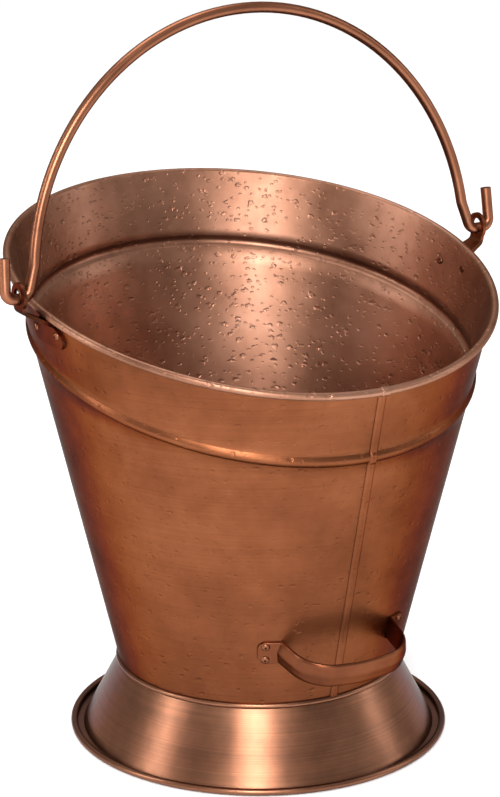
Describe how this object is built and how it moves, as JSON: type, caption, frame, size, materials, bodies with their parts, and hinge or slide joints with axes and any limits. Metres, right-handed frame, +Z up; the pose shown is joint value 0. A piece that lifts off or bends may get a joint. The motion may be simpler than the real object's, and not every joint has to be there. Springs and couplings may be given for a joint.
{
  "type": "log bucket",
  "caption": "Tapered sheet-metal log bucket with a slanted wired rim, flared foot, swinging bail and a strap handle for tipping.",
  "frame": {"origin": "centre of the flat face under the foot, on the bucket's axis", "axes": "+Z up; X along the bail's pivots; -Y towards the lock seam and the tipping handle, +Y towards the high lip"},
  "size_m": [0.4164, 0.3596, 0.5441],
  "materials": {
    "body_copper": "antique copper plated, lightly pitted",
    "foot_copper": "antique copper plated, brushed round",
    "fitting_copper": "antique copper plated",
    "rivet_copper": "antique copper plated",
    "bail_copper": "antique copper plated wire",
    "steel_wire": "plain drawn wire"
  },
  "bodies": {
    "bucket": {"body_shell": "body_copper", "rim_wire": "steel_wire", "bottom_plate": "body_copper", "foot_skirt": "foot_copper", "foot_wire": "steel_wire", "ear_right": "fitting_copper", "ear_left": "fitting_copper", "ear_rivets_right": "rivet_copper", "ear_rivets_left": "rivet_copper", "tipping_handle": "fitting_copper", "handle_rivets": "rivet_copper"},
    "bail": {"bail": "bail_copper"}
  },
  "joints": [
    {"name": "bail_swing", "type": "hinge", "parent": "bucket", "child": "bail", "pos_m": [0, 0, 0.3583], "axis": [1, 0, 0], "range_deg": [-72.5, 115]}
  ]
}
